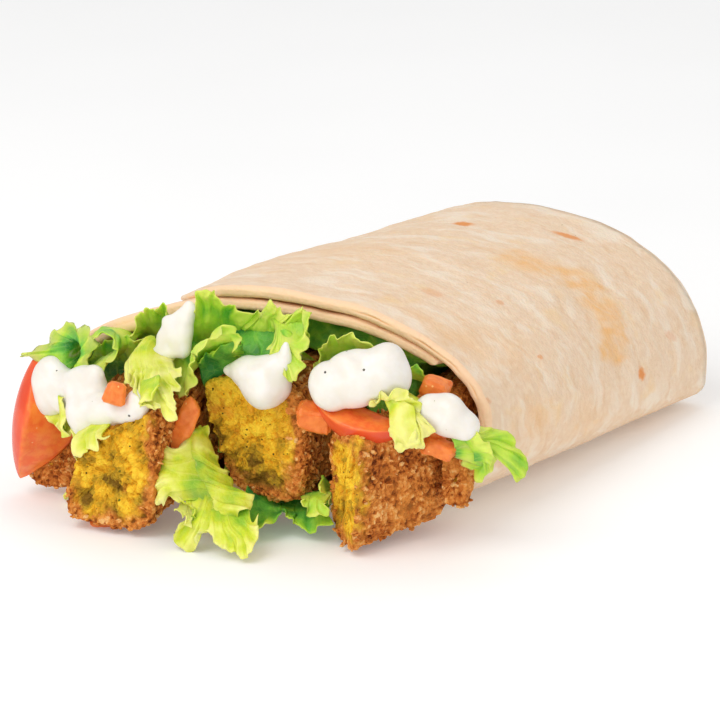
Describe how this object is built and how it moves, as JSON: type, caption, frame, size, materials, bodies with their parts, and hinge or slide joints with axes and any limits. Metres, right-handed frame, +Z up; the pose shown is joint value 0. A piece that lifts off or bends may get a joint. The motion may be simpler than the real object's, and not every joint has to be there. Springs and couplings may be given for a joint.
{
  "type": "veggie burrito",
  "caption": "Rolled flour tortilla filled with crumbed vegetable strips, lettuce, tomato, carrot and creamy white sauce, its open mouth overflowing",
  "frame": {"origin": "middle of the roll's flat underside, on the table it lies on", "axes": "+Z up from the table; +Y along the roll from its open mouth to its folded far end; +X to the right as seen looking into the mouth"},
  "size_m": [0.1063, 0.1355, 0.0455],
  "materials": {
    "tortilla": "soft flour tortilla, matte",
    "crust": "fried golden-brown crumb, rough",
    "lettuce": "fresh green leaf, slightly glossy",
    "pale_lettuce": "pale inner leaf, slightly glossy",
    "tomato": "ripe tomato, wet",
    "carrot": "raw carrot, satin",
    "sauce": "creamy white sauce with flecks of pepper, glossy"
  },
  "bodies": {
    "root": {"tortilla": "tortilla", "strip_left": "crust", "strip_middle": "crust", "strip_right": "crust", "strip_end": "crust", "strip_far_right": "crust", "lettuce_bed": "lettuce", "tomato_left": "tomato", "tomato_right": "tomato", "sauce_left": "sauce", "sauce_drip": "sauce", "sauce_centre": "sauce", "sauce_right": "sauce", "sauce_far_right": "sauce", "leaf_top": "lettuce", "leaf_fold": "lettuce", "leaf_left_curl": "lettuce", "leaf_dark_left": "lettuce", "leaf_small_frill": "lettuce", "leaf_over_sauce": "pale_lettuce", "leaf_right_of_top": "lettuce", "leaf_hanging": "pale_lettuce", "leaf_under": "lettuce", "leaf_pale_right": "pale_lettuce", "leaf_far_right": "lettuce", "leaf_low_frill": "pale_lettuce", "leaf_low_left": "pale_lettuce", "leaf_between": "lettuce", "leaf_behind_sauce": "lettuce", "carrot_in_sauce": "carrot", "carrot_upright": "carrot", "carrot_between": "carrot", "carrot_back_right": "carrot", "carrot_under_sauce": "carrot", "carrot_low_right": "carrot", "carrot_under_left": "carrot"}
  },
  "joints": []
}
